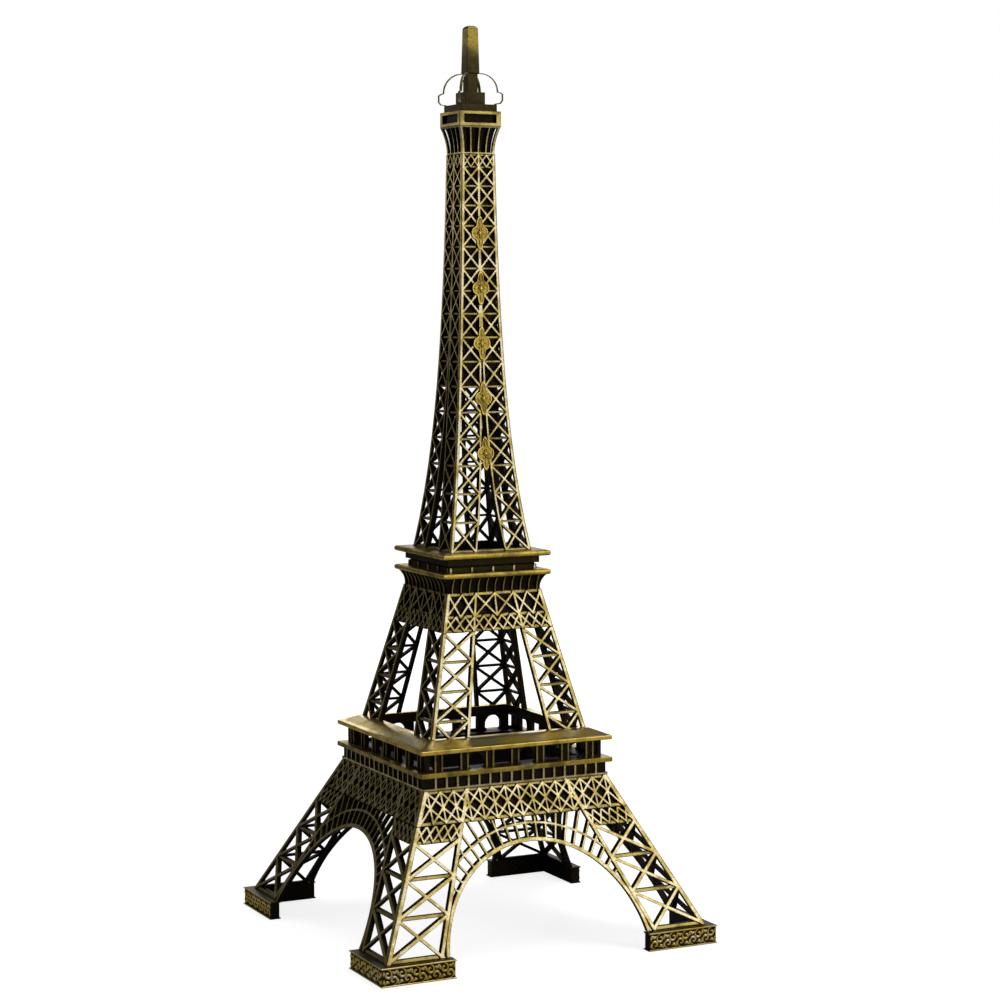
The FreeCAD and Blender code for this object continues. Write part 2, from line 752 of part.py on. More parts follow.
def round_edges(body, name, radius, wanted):
    """Fillets the edges of the body's tip that a test picks."""
    base = body.Tip
    chosen = [
        f"Edge{number}"
        for number, edge in enumerate(base.Shape.Edges, start=1)
        if wanted(edge)
    ]
    fillet = body.newObject("PartDesign::Fillet", name)
    fillet.Base = (base, chosen)
    fillet.setExpression("Radius", cell(radius))
    doc.recompute()
    return fillet


def level_edge_outside(half):
    """Picks level edges that lie on a plate's outer faces."""
    def test(edge):
        box = edge.BoundBox
        reach = max(abs(box.XMin), abs(box.XMax), abs(box.YMin), abs(box.YMax))
        far = max(min(abs(box.XMin), abs(box.XMax)), min(abs(box.YMin), abs(box.YMax)))
        return box.ZLength < 1e-6 and abs(reach - half) < 1e-6 and abs(far - half) < 1e-6
    return test


# First floor
square_ring("first_floor_ledge", "ledge_half", "well_half", "ledge_bottom", "ledge_top")
deck = square_ring("first_floor_deck", "deck_half", None, "deck_bottom", "deck_rim_top")
round_edges(deck, "deck_rim", "plinth_round * 0.5", level_edge_outside(size("deck_half")))
slope_foot = "( deck_half - plinth_round * 0.5 )"
slope_sketch = flat_sketch(deck, "deck_slope_outline", "deck_rim_top")
draw_square(slope_sketch, slope_foot, "slope_width")
slope = pad(deck, slope_sketch, "deck_slope", "deck_top - deck_rim_top")
steepness = cell(f"( {slope_foot} - deck_crest_half ) / ( deck_top - deck_rim_top )")
slope.setExpression("TaperAngle", f"-atan( {steepness} )")
well_sketch = flat_sketch(deck, "deck_well_outline", "deck_bottom")
draw_square(well_sketch, "well_half", "well_width")
well = deck.newObject("PartDesign::Pocket", "deck_well")
well.Profile = well_sketch
well.Type = "ThroughAll"
well.Reversed = True
well_sketch.Visibility = False
doc.recompute()

# Second floor slabs, with rims rounded top and bottom
for slab_name, slab_low, slab_high in (
    ("second_floor_lower_slab", "cove_top", "slab_top"),
    ("second_floor_upper_slab", "wall_top", "shaft_bottom"),
):
    slab_body = square_ring(slab_name, "slab_half", "shaft_well_half", slab_low, slab_high)
    round_edges(slab_body, f"{slab_name}_rim", "slab_round", level_edge_outside(size("slab_half")))


# --------------------------------------------------------------------------
# Plinths
# --------------------------------------------------------------------------
def plinth(name, turn):
    """An L-shaped bar under two leg castings, at the front left before its turn."""
    body = new_body(name)
    sketch = body.newObject("Sketcher::SketchObject", f"{name}_outline")
    sketch.AttachmentSupport = (plane(body, "XY_Plane"), [""])
    sketch.MapMode = "FlatFace"
    far = -size("foot_half")
    end = far + size("plinth_arm")
    inside = far + size("plinth_width")
    places = ((far, far), (end, far), (end, inside), (inside, inside), (inside, end), (far, end))
    for here, there in zip(places, places[1:] + places[:1]):
        line = Part.LineSegment(Vector(here[0], here[1], 0), Vector(there[0], there[1], 0))
        sketch.addGeometry(line, False)
    for step in range(6):
        sketch.addConstraint(Sketcher.Constraint("Coincident", step, 2, (step + 1) % 6, 1))
        kind = "Horizontal" if step % 2 == 0 else "Vertical"
        sketch.addConstraint(Sketcher.Constraint(kind, step))
    bound = (
        ("arm_x", "DistanceX", (0, 1, 0, 2), "plinth_arm"),
        ("arm_y", "DistanceY", (5, 2, 5, 1), "plinth_arm"),
        ("width_x", "DistanceX", (4, 2, 4, 1), "plinth_width"),
        ("width_y", "DistanceY", (1, 1, 1, 2), "plinth_width"),
        ("place_x", "DistanceX", (0, 1, -1, 1), "foot_half"),
        ("place_y", "DistanceY", (0, 1, -1, 1), "foot_half"),
    )
    for label, kind, ends, alias in bound:
        index = sketch.addConstraint(Sketcher.Constraint(kind, *ends, size(alias)))
        sketch.renameConstraint(index, label)
        sketch.setExpression(f"Constraints.{label}", cell(alias))
    pad(body, sketch, f"{name}_pad", "plinth_top")
    doc.recompute()

    def outer_upright(edge):
        box = edge.BoundBox
        upright = box.ZLength > 1
        centre = edge.CenterOfMass
        at_inside_corner = abs(centre.x - inside) < 1e-6 and abs(centre.y - inside) < 1e-6
        return upright and not at_inside_corner

    round_edges(body, f"{name}_edges", "plinth_round", outer_upright)
    body.Placement = Placement(Vector(0, 0, 0), Rotation(Vector(0, 0, 1), turn))


for corner_name, corner_turn in CORNERS.items():
    plinth(f"plinth_{corner_name}", corner_turn)


# --------------------------------------------------------------------------
# Walls with bars, windows and steps
# --------------------------------------------------------------------------
def cornice_wall(name):
    """The wall between frieze and ledge, with a row of upright bars on each side."""
    low = size("frieze_top")
    top = size("ledge_bottom")
    half = size("cornice_half")
    count = int(size("cornice_bars"))
    proud = size("bar_relief")
    bar_width = size("cornice_bar")
    pitch = 2 * half / (count + 1)
    inside = square_block(size("gallery_half") - size("gallery_wall"), low - SPARE, top + SPARE)
    pieces = []
    for step in range(count):
        x = -half + pitch * (step + 1) - bar_width / 2
        corner = Vector(x, -half - proud, low)
        pieces += both_ways(Part.makeBox(bar_width, 2 * (half + proud), top - low, corner))
    pieces.append(square_block(half + proud, low, low + bar_width))
    return one_solid(square_block(half, low, top).multiFuse(pieces).cut(inside), name)


# Full windows on one side of the gallery, with a narrow one past each end
GALLERY_WINDOWS = 6


def gallery_wall(name):
    """The first floor's window wall: square and round-headed windows by turns.

    Each pier between two windows has a raised strip along both its edges.
    """
    low = size("ledge_top")
    top = size("deck_bottom")
    half = size("gallery_half")
    thickness = size("gallery_wall")
    sill = size("gallery_sill")
    width = size("gallery_window")
    pitch = size("gallery_pitch")
    height = top - low - 2 * sill
    wall = square_block(half, low, top)
    inside = square_block(half - thickness, low - SPARE, top + SPARE)
    cuts = [inside]

    def window(x, wide, high):
        """A straight cut through both of two facing walls."""
        return Part.makeBox(wide, 2 * REACH, high, Vector(x - wide / 2, -REACH, low + sill))

    for step in range(GALLERY_WINDOWS):
        x = (step - (GALLERY_WINDOWS - 1) / 2) * pitch
        if step % 2:
            spring = height - width / 2
            centre = Vector(x, -REACH, low + sill + spring)
            round_head = Part.makeCylinder(width / 2, 2 * REACH, centre, Vector(0, 1, 0))
            cuts += both_ways(window(x, width, spring).fuse(round_head))
        else:
            cuts += both_ways(window(x, width, height))
    pier = pitch - width
    inner_edge = (GALLERY_WINDOWS * pitch + pier) / 2
    end_width = half - thickness - inner_edge
    for hand in HANDS.values():
        cuts += both_ways(window(hand * (inner_edge + end_width / 2), end_width, height))
    strip = size("pier_strip")
    proud = half + size("pier_relief")
    strips = []
    for step in range(GALLERY_WINDOWS + 1):
        pier_x = (step - GALLERY_WINDOWS / 2) * pitch
        for edge in (pier_x - pier / 2, pier_x + pier / 2 - strip):
            corner = Vector(edge, -proud, low)
            strips += both_ways(Part.makeBox(strip, 2 * proud, top - low, corner))
    return one_solid(wall.cut(cuts).multiFuse(strips).cut(inside), name)


# Where the middle of the cove's arc lies, as shares of its sweep and of its height
COVE_MIDDLE_OUT = 0.22
COVE_MIDDLE_UP = 0.55


def cove_block(extra, low, top):
    """A square block whose sides sweep outwards in an arc towards the top."""
    foot = size("midleg_half_high") + extra
    head = size("cove_half") + extra
    middle_x = foot + (head - foot) * COVE_MIDDLE_OUT
    middle = Vector(middle_x, 0, low + (top - low) * COVE_MIDDLE_UP)
    arc = Part.Arc(Vector(foot, 0, low), middle, Vector(head, 0, top)).toShape()
    outline = Part.Wire(
        [
            arc,
            Part.makeLine(Vector(head, 0, top), Vector(-head, 0, top)),
            arc.mirror(Vector(0, 0, 0), Vector(1, 0, 0)),
            Part.makeLine(Vector(-foot, 0, low), Vector(foot, 0, low)),
        ]
    )
    across = Part.Face(outline)
    across.translate(Vector(0, -REACH / 2, 0))
    first, second = both_ways(across.extrude(Vector(0, REACH, 0)))
    return first.common(second)


def second_floor_well(low, top):
    """The square well that the second floor's rings leave open."""
    return square_block(size("shaft_well_half"), low - SPARE, top + SPARE)


# Cove ribs, and wall studs, on each side of the middle one
COVE_RIBS = 5
WALL_STUDS = 2


def second_floor_cove(name):
    """The hollow moulding under the second floor, with a row of ribs on each side."""
    low = size("midfrieze_top")
    top = size("cove_top")
    rib_width = size("cove_rib")
    relief = size("cove_relief")
    ribs = []
    for step in range(-COVE_RIBS, COVE_RIBS + 1):
        x = step * size("cove_pitch") - rib_width / 2
        plate = Part.makeBox(rib_width, REACH, top - low, Vector(x, -REACH / 2, low))
        ribs += both_ways(plate)
    proud = cove_block(relief, low, top).common(ribs[0].multiFuse(ribs[1:]))
    solid = cove_block(-relief, low, top).fuse(proud)
    return one_solid(solid.cut(second_floor_well(low, top)), name)


def second_floor_wall(name):
    """The dark wall between the slabs, with a step and a few short studs."""
    low = size("slab_top")
    step_level = size("wall_step")
    top = size("wall_top")
    half = size("wall_half")
    stud = size("stud_width")
    proud = half + size("stud_relief")
    pieces = [square_block(size("wall_out_half"), step_level, top)]
    for step in range(-WALL_STUDS, WALL_STUDS + 1):
        corner = Vector(step * size("stud_pitch") - stud / 2, -proud, low)
        pieces += both_ways(Part.makeBox(stud, 2 * proud, size("stud_height"), corner))
    whole = square_block(half, low, top).multiFuse(pieces)
    return one_solid(whole.cut(second_floor_well(low, top)), name)


add_feature("cornice_wall", cornice_wall("cornice_wall"))
add_feature("gallery_wall", gallery_wall("gallery_wall"))
add_feature("second_floor_cove", second_floor_cove("second_floor_cove"))
add_feature("second_floor_wall", second_floor_wall("second_floor_wall"))


# --------------------------------------------------------------------------
# Lantern, roof, spire and crown
# --------------------------------------------------------------------------
def lantern_gallery(name):
    """A square box with a long recessed window on each side and posts at the corners."""
    low = size("cage_top")
    top = size("lantern_top")
    half = size("lantern_half")
    rim = size("lantern_rim")
    opening = half - size("lantern_post")
    corner = Vector(-opening, -REACH, low + rim)
    window = Part.makeBox(2 * opening, 2 * REACH, top - low - 2 * rim, corner)
    hollow = square_block(half - size("lantern_wall"), low - SPARE, top - rim / 2)
    frame = square_block(half, low, top).cut(both_ways(window))
    panes = square_block(half - size("lantern_recess"), low, top)
    return one_solid(frame.fuse(panes).cut(hollow), name)


add_feature("lantern_gallery", lantern_gallery("lantern_gallery"))
square_ring("lantern_roof", "roof_half", None, "lantern_top", "roof_top")
roof_block = square_ring("roof_block", "block_half", None, "roof_top", "block_top")
neck_sketch = flat_sketch(roof_block, "neck_outline", "block_top")
draw_square(neck_sketch, "neck_half", "neck_width")
pad(roof_block, neck_sketch, "neck_pad", "neck_top - block_top")

spire = new_body("spire")
spire_sketch = flat_sketch(spire, "spire_outline", "neck_top")
draw_square(spire_sketch, "spire_half_low", "spire_width")
spire_pad = pad(spire, spire_sketch, "spire_pad", "spire_top - neck_top")
narrowing = cell("( spire_half_low - spire_half_high ) / ( spire_top - neck_top )")
spire_pad.setExpression("TaperAngle", f"-atan( {narrowing} )")
doc.recompute()


def at_spire_top(edge):
    """Picks the level edges round the tip."""
    return abs(edge.BoundBox.ZMin - size("spire_top")) < 1e-6


round_edges(spire, "spire_tip", "spire_half_high * 0.7", at_spire_top)


def crown_rib(name):
    """A thin bent strip: an arc from the neck, a shoulder, and a post to the roof."""
    width = size("crown_width")
    thick = size("crown_thick")
    radius = size("crown_radius")
    middle = thick / 2
    head = size("neck_top") - middle
    spring = head - radius
    arc_start = size("spire_half_low") * math.sqrt(2)
    arc_steps = 8
    places = [(size("neck_half") * math.sqrt(2) + middle, head)]
    for step in range(arc_steps + 1):
        angle = math.radians(90 * step / arc_steps)
        places.append((arc_start + radius * math.sin(angle), spring + radius * math.cos(angle)))
    shoulder = arc_start + radius + size("crown_shoulder")
    foot = size("roof_top") + middle
    bend = size("crown_bend")
    places += [
        (shoulder - bend, spring - bend / 3),
        (shoulder, spring - bend),
        (shoulder, foot + 1.5 * bend),
        (shoulder - bend, foot + bend / 3),
        (size("roof_half") * math.sqrt(2) - bend, foot),
    ]
    runs = [bar(here, there, thick) for here, there in zip(places, places[1:])]
    strip = united(runs).extrude(Vector(0, width, 0))
    strip.translate(Vector(0, -width / 2, 0))
    to_front_left_corner = -135
    strip.rotate(Vector(0, 0, 0), Vector(0, 0, 1), to_front_left_corner)
    between_floors = square_block(REACH, size("roof_top"), size("neck_top"))
    return one_solid(strip.common(between_floors), name)


crown_shape = crown_rib("crown_rib")
for corner_name, corner_turn in CORNERS.items():
    add_feature(f"crown_rib_{corner_name}", crown_shape, corner_turn)

# --------------------------------------------------------------------------
# Check every object, then write one file for each sub-part
# --------------------------------------------------------------------------
doc.recompute()
for item in doc.Objects:
    if {"Invalid", "Error"} & set(item.State):
        raise ValueError(f"{item.Label} failed: {item.State}")
for node in nodes:
    if node.Shape.isNull() or not node.Shape.isValid():
        raise ValueError(f"{node.Label} has no valid shape")
    node.Shape.exportStep(f"parts/{node.Label}.step")
    box = node.Shape.BoundBox
    print(
        f"{node.Label:28s} solids {len(node.Shape.Solids)} volume {node.Shape.Volume:9.1f}"
        f"  x {box.XMin:7.2f} {box.XMax:7.2f}  y {box.YMin:7.2f} {box.YMax:7.2f}"
        f"  z {box.ZMin:7.2f} {box.ZMax:7.2f}  faces {len(node.Shape.Faces)}"
    )
print("nodes", len(nodes))
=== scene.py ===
import math

import bmesh
import bpy
from mathutils import Matrix, Vector


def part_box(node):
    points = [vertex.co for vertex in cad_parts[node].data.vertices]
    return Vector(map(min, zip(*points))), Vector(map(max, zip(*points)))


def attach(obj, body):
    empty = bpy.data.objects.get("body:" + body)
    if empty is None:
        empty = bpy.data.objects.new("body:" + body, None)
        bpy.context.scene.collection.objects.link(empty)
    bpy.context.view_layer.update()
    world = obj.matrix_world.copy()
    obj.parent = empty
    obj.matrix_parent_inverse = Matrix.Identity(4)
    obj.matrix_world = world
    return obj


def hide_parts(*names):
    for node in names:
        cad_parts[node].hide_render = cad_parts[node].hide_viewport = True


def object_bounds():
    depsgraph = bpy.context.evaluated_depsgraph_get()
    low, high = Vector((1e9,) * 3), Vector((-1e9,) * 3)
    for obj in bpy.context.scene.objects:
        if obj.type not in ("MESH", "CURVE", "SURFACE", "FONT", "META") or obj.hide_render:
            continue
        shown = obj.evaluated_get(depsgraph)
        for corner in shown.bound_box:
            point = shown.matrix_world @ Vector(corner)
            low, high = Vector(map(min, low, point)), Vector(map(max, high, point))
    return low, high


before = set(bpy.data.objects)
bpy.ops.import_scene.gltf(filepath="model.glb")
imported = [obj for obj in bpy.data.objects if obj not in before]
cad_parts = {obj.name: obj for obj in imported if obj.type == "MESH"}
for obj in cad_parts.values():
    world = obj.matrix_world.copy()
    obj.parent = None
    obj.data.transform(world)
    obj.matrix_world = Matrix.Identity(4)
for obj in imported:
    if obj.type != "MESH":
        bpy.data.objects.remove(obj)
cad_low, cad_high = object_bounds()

MM = 0.001
HEIGHT = cad_high.z

# Camera: where it stands round the tower, which way it looks in degrees, and its lens in millimetres
CAMERA_AZIMUTH = -25.74
CAMERA_DISTANCE = 2.7456 * HEIGHT
CAMERA_HEIGHT = 0.701 * HEIGHT
CAMERA_YAW = -26.40
CAMERA_DROP = 4.63
CAMERA_ROLL = -0.12
CAMERA_LENS = 89.08
CAMERA_SENSOR = 36
CAMERA_NEAR = 0.01
CAMERA_FAR = 50

# Soft boxes: azimuth in degrees; distance, height, width and length in tower heights; watts
SOFT_BOXES = {
    "key_light": (34, 2.6, 1.35, 1.2, 2.4, 2.15),
    "rim_light": (160, 3.0, 0.9, 2.2, 0.9, 1.2),
    "top_light": (60, 0.8, 3.2, 2.0, 2.0, 3.0),
    "left_light": (-100, 3.4, 1.4, 0.6, 2.4, 0.5),
    "high_light": (-145, 0.9, 1.0, 0.3, 0.5, 0.06),
}
# The point of the tower's axis that all the lights face
LIGHT_AIM = Vector((0, 0, 0.45 * HEIGHT))
# How brightly the white room lights the tower
ROOM_GLOW = 0.08

# Paper floor: its half width, its grey, and how strongly it glows near the tower
FLOOR_REACH = 20 * HEIGHT
FLOOR_GREY = 0.62
FLOOR_GLOW = 0.82
# Distances from the tower between which the floor's glow rises to full white
GLOW_START = 0.3 * HEIGHT
GLOW_END = 2.5 * HEIGHT

# Colours of the antique brass, from the pale gold of painted highlights through rubbed bright to deepest
# dark
PAINTED_HIGHLIGHT_GOLD = (0.74, 0.66, 0.43, 1)
RICH_GOLD = (0.80, 0.56, 0.095, 1)
GOLD = (0.52, 0.40, 0.125, 1)
OLIVE = (0.105, 0.082, 0.026, 1)
BROWN = (0.040, 0.026, 0.014, 1)
PATINA = (0.014, 0.010, 0.006, 1)
# How far in from an edge the painted shade of its rounding reaches
EDGE_SHADE_RADIUS = 0.6 * MM
# Grain sizes of the patches and of the speckle of the finish, and the depth of its pits
PATCH_SIZE = 6 * MM
SPECKLE_SIZE = 0.45 * MM
PIT_DEPTH = 0.06 * MM

# Reading the CAD's outline, in millimetres: how far a corner's two distances from the axis may differ,
# what counts as about as high, and how far behind its neighbours an inner corner lies
CORNER_SLACK = 0.02
ABOUT_AS_HIGH = 1.0
WELL_BEHIND = 0.8
BEHIND_NARROWER = 0.05

# How far the sides of the shaft, the cage and the cove lean back from upright, in degrees
SHAFT_LEAN = 6
CAGE_LEAN = -10
COVE_LEAN = -20
# More than the height of the cove's ribs, in millimetres
RIB_ALLOWANCE = 1.0
# The second floor wall is bright up to its studs' tops and dark a little above them
STUD_TOP = 1.8 * MM
STUD_FADE = 0.4 * MM
# Walls: the depths in millimetres between which bars turn dark, edge rounding, brightness
WALLS = {
    "lantern_gallery": ((0.3, 0.9), 0.12, 0.75),
    "cornice_wall": ((0.1, 0.45), 0.1, 1.0),
    "gallery_wall": ((0.05, 0.3), 0.08, 0.6),
}
# Floors: how far in they are bright in millimetres, wear of their tops, strength of the painted
# highlight on their rims
FLOORS = {
    "first_floor_deck": (9.0, 1.0, 0.75),
    "first_floor_ledge": (2.8, 0.55, 0.55),
    "second_floor_lower_slab": (3.8, 0.5, 0.6),
    "second_floor_upper_slab": (6.5, 0.5, 0.6),
}

# Rounding of the CAD nodes' edges
MERGE_DISTANCE = 0.004 * MM
SHARP_ANGLE = math.radians(35)
EDGE_SEGMENTS = 3
FLAT_FACE_WEIGHT = 80
# Edges sharper than this stay creased on the pieces made here
CREASE_ANGLE = math.radians(40)

# Plinths: width of an arm, depth of the ornament's recess, height of the rims, rounding of their edges
PLINTH_WIDTH = 4.2 * MM
RECESS = 0.40 * MM
RIM = 0.5 * MM
RIM_SOFTNESS = 0.15 * MM
# Strands: width, sides of their half-round section, thickness at the ends, swelling, and sinking in
STRAND = 0.95 * MM
STRAND_SIDES = 6
STRAND_TIP = 0.45
STRAND_SWELL = 1.6
STRAND_SINK = 0.05 * MM
# Scrolls on a plinth's side: pairs, plain metal left at the ends, radius as a share of the band's height
SCROLLS = 5
ORNAMENT_MARGIN = 0.9 * MM
SCROLL_RADIUS = 0.29
# Each scroll's turns, the share of its radius that it winds in by, and its steps
SCROLL_TURNS = 1.15
SCROLL_WIND = 0.78
SCROLL_STEPS = 22
# Places on the band, from a pair's middle: sideways in cells, upwards in scroll radii
EYE_PLACE = (0.2, -0.62)
LEAF_ROOT = (0.08, 1.2)
LEAF_TIP = (0.47, 1.5)
# How far a leaf bends, in scroll radii, its pieces on each side of the bend, and its width
LEAF_BEND = 0.45
LEAF_STEPS = 4
LEAF_WIDTH = 1.15 * STRAND
# Beads between the pairs: height up the band, steps up and down, their length in radii, width
BEAD_HEIGHT = 0.25
BEAD_STEPS = 2
BEAD_STEP = 0.256
BEAD_WIDTH = 1.1 * STRAND

# Medallions: how far the plate stands out, how deep its foot is sunk, and how high its field lies
PLATE_RISE = 0.5 * MM
PLATE_SINK = 0.1 * MM
FIELD_RISE = 0.25 * MM
MEDALLION_STEPS = 72
# Lobes round the outline, and how deep the bays between them are
LOBES = 4
LOBE_DEPTH = 0.20
# Petals: where they start and how long they are, as shares of the outline; steps, width and height
PETALS = 8
PETAL_START = 0.34
PETAL_LENGTH = 0.42
PETAL_STEPS = 6
PETAL_WIDTH = 0.75 * MM
PETAL_HEIGHT = 0.3 * MM


# Camera, light and floor

def place(azimuth, distance, height):
    """A point round the tower. Azimuth 0 is in front of it, 90 on its right."""
    turn = math.radians(azimuth)
    return Vector((distance * math.sin(turn), -distance * math.cos(turn), height))


def make_camera():
    data = bpy.data.cameras.new("camera")
    data.lens = CAMERA_LENS
    data.sensor_width = CAMERA_SENSOR
    data.clip_start = CAMERA_NEAR
    data.clip_end = CAMERA_FAR
    camera = bpy.data.objects.new("camera", data)
    camera.location = place(CAMERA_AZIMUTH, CAMERA_DISTANCE, CAMERA_HEIGHT)
    look = Matrix.Rotation(math.radians(CAMERA_YAW), 4, "Z")
    look @= Matrix.Rotation(math.radians(90 - CAMERA_DROP), 4, "X")
    look @= Matrix.Rotation(math.radians(CAMERA_ROLL), 4, "Z")
    camera.rotation_euler = look.to_euler()
    bpy.context.collection.objects.link(camera)
    bpy.context.scene.camera = camera


def soft_box(name, azimuth, distance, height, width, length, watts):
    data = bpy.data.lights.new(name, "AREA")
    data.shape = "RECTANGLE"
    data.size = width * HEIGHT
    data.size_y = length * HEIGHT
    data.energy = watts
    light = bpy.data.objects.new(name, data)
    light.location = place(azimuth, distance * HEIGHT, height * HEIGHT)
    aim = LIGHT_AIM - light.location
    light.rotation_euler = aim.to_track_quat("-Z", "Y").to_euler()
    light.visible_camera = False
    bpy.context.collection.objects.link(light)


def make_room():
    """A room that looks white to the camera and lights the tower only faintly."""
    world = bpy.data.worlds.new("studio")
    world.use_nodes = True
    tree = world.node_tree
    tree.nodes.clear()
    out = tree.nodes.new("ShaderNodeOutputWorld")
    mix = tree.nodes.new("ShaderNodeMixShader")
    ray = tree.nodes.new("ShaderNodeLightPath")
    room = tree.nodes.new("ShaderNodeBackground")
    room.inputs["Color"].default_value = (1, 1, 1, 1)
    room.inputs["Strength"].default_value = ROOM_GLOW
    seen = tree.nodes.new("ShaderNodeBackground")
    seen.inputs["Color"].default_value = (1, 1, 1, 1)
    seen.inputs["Strength"].default_value = 1.0
    tree.links.new(ray.outputs["Is Camera Ray"], mix.inputs[0])
    tree.links.new(room.outputs[0], mix.inputs[1])
    tree.links.new(seen.outputs[0], mix.inputs[2])
    tree.links.new(mix.outputs[0], out.inputs[0])
    bpy.context.scene.world = world
    bpy.context.scene.view_settings.view_transform = "Standard"


def make_studio():
    for name, settings in SOFT_BOXES.items():
        soft_box(name, *settings)
    make_room()


def make_floor():
    """White paper that glows a little more with distance, so that no horizon shows."""
    mesh = bpy.data.meshes.new("floor")
    reach = FLOOR_REACH
    corners = [(-reach, -reach, 0), (reach, -reach, 0), (reach, reach, 0), (-reach, reach, 0)]
    mesh.from_pydata(corners, [], [(0, 1, 2, 3)])
    floor = bpy.data.objects.new("floor", mesh)
    floor.location.z = cad_low.z
    paper = Nodes("floor_paper")
    where = paper.add("TexCoord").outputs["Object"]
    span = paper.add("VectorMath", operation="LENGTH")
    paper.feed(span.inputs[0], where)
    glow = paper.spread(span.outputs["Value"], GLOW_START, GLOW_END, FLOOR_GLOW, 1.0)
    seen = paper.add("LightPath").outputs["Is Camera Ray"]
    paper.shader.inputs["Base Color"].default_value = (FLOOR_GREY, FLOOR_GREY, FLOOR_GREY, 1)
    paper.shader.inputs["Roughness"].default_value = 0.95
    paper.shader.inputs["Specular IOR Level"].default_value = 0.0
    paper.shader.inputs["Emission Color"].default_value = (1, 1, 1, 1)
    paper.feed(paper.shader.inputs["Emission Strength"], paper.maths("MULTIPLY", glow, seen))
    mesh.materials.append(paper.material)
    bpy.context.collection.objects.link(floor)


# Outlines of the CAD nodes

def level_profile(names):
    """The widest reach from the axis at each height where these nodes have vertices."""
    reach = {}
    for name in names:
        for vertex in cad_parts[name].data.vertices:
            level = round(vertex.co.z / MM, 1)
            half = max(abs(vertex.co.x), abs(vertex.co.y)) / MM
            reach[level] = max(reach.get(level, 0), half)
    return [(level, reach[level]) for level in sorted(reach)]


def corner_profile(names, proud=0.0):
    """Half the tower's width at each height where its outer corners have a vertex.

    Proud is how many millimetres the outermost faces stand out past the corners.
    Inner corners are left out: they lie well behind a vertex about as high, or behind
    a corner on the narrower side of them.
    """
    corner = {}
    for name in names:
        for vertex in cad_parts[name].data.vertices:
            level = round(vertex.co.z / MM, 1)
            x, y = abs(vertex.co.x) / MM, abs(vertex.co.y) / MM
            if abs(x - y) < CORNER_SLACK:
                corner[level] = max(corner.get(level, 0), x)
    widest = level_profile(names)
    tapering = corner[min(corner)] > corner[max(corner)]
    profile = []
    for level in sorted(corner):
        half = corner[level]
        beside = max(reach for near, reach in widest if abs(near - level) <= ABOUT_AS_HIGH)
        narrower = [reach for near, reach in corner.items() if (near > level) == tapering]
        stands_out = half + proud > beside - WELL_BEHIND
        if stands_out and half > max(narrower, default=0) - BEHIND_NARROWER:
            profile.append((level, half + proud))
    return profile


def straight_profile(names):
    """An upright outer face as far out as the widest of these nodes."""
    points = level_profile(names)
    half = max(half for level, half in points)
    return [(points[0][0], half), (points[-1][0], half)]


def cove_profile(names):
    """The face of the cove's ribs, which stand out past the corners of its plate."""
    ribs = level_profile(names)[0][1]
    plate = corner_profile(names, RIB_ALLOWANCE)[0][1] - RIB_ALLOWANCE
    return corner_profile(names, ribs - plate)


def half_at(profile, level):
    """Half the width at a level in millimetres, between two levels of a profile."""
    for (low, half_low), (high, half_high) in zip(profile, profile[1:]):
        if low <= level <= high:
            return half_low + (half_high - half_low) * (level - low) / (high - low)
    return profile[-1][1]


def lean_of(profile):
    """How far a side leans back from upright, in degrees."""
    (low, half_low), (high, half_high) = profile[0], profile[-1]
    return math.degrees(math.atan2(half_low - half_high, high - low))


# Materials

class Nodes:
    """A short way to write a material's node tree."""

    def __init__(self, name):
        self.material = bpy.data.materials.new(name)
        self.material.use_nodes = True
        self.tree = self.material.node_tree
        self.shader = self.tree.nodes["Principled BSDF"]

    def add(self, kind, **settings):
        node = self.tree.nodes.new("ShaderNode" + kind)
        for key, value in settings.items():
            setattr(node, key, value)
        return node

    def feed(self, socket, value):
        if isinstance(value, bpy.types.NodeSocket):
            self.tree.links.new(value, socket)
        else:
            socket.default_value = value

    def maths(self, operation, first, second=0.0):
        node = self.add("Math", operation=operation)
        self.feed(node.inputs[0], first)
        self.feed(node.inputs[1], second)
        return node.outputs[0]

    def spread(self, value, low, high, to_low=0.0, to_high=1.0):
        """Eases from one value to another as the input goes from low to high."""
        node = self.add("MapRange", interpolation_type="SMOOTHSTEP")
        self.feed(node.inputs["Value"], value)
        node.inputs["From Min"].default_value = low
        node.inputs["From Max"].default_value = high
        node.inputs["To Min"].default_value = to_low
        node.inputs["To Max"].default_value = to_high
        return node.outputs["Result"]

    def noise(self, size, detail, roughness):
        where = self.add("TexCoord")
        node = self.add("TexNoise")
        self.tree.links.new(where.outputs["Object"], node.inputs["Vector"])
        node.inputs["Scale"].default_value = 1 / size
        node.inputs["Detail"].default_value = detail
        node.inputs["Roughness"].default_value = roughness
        return node.outputs["Fac"]

    def mix(self, share, first, second):
        """Mixes two colours. The colour sockets of a Mix node come after its number sockets."""
        node = self.add("Mix", data_type="RGBA")
        self.feed(node.inputs[0], share)
        self.feed(node.inputs[6], first)
        self.feed(node.inputs[7], second)
        return node.outputs[2]

    def bump(self, height, strength, distance):
        node = self.add("Bump")
        node.inputs["Strength"].default_value = strength
        node.inputs["Distance"].default_value = distance
        self.tree.links.new(height, node.inputs["Height"])
        self.tree.links.new(node.outputs["Normal"], self.shader.inputs["Normal"])


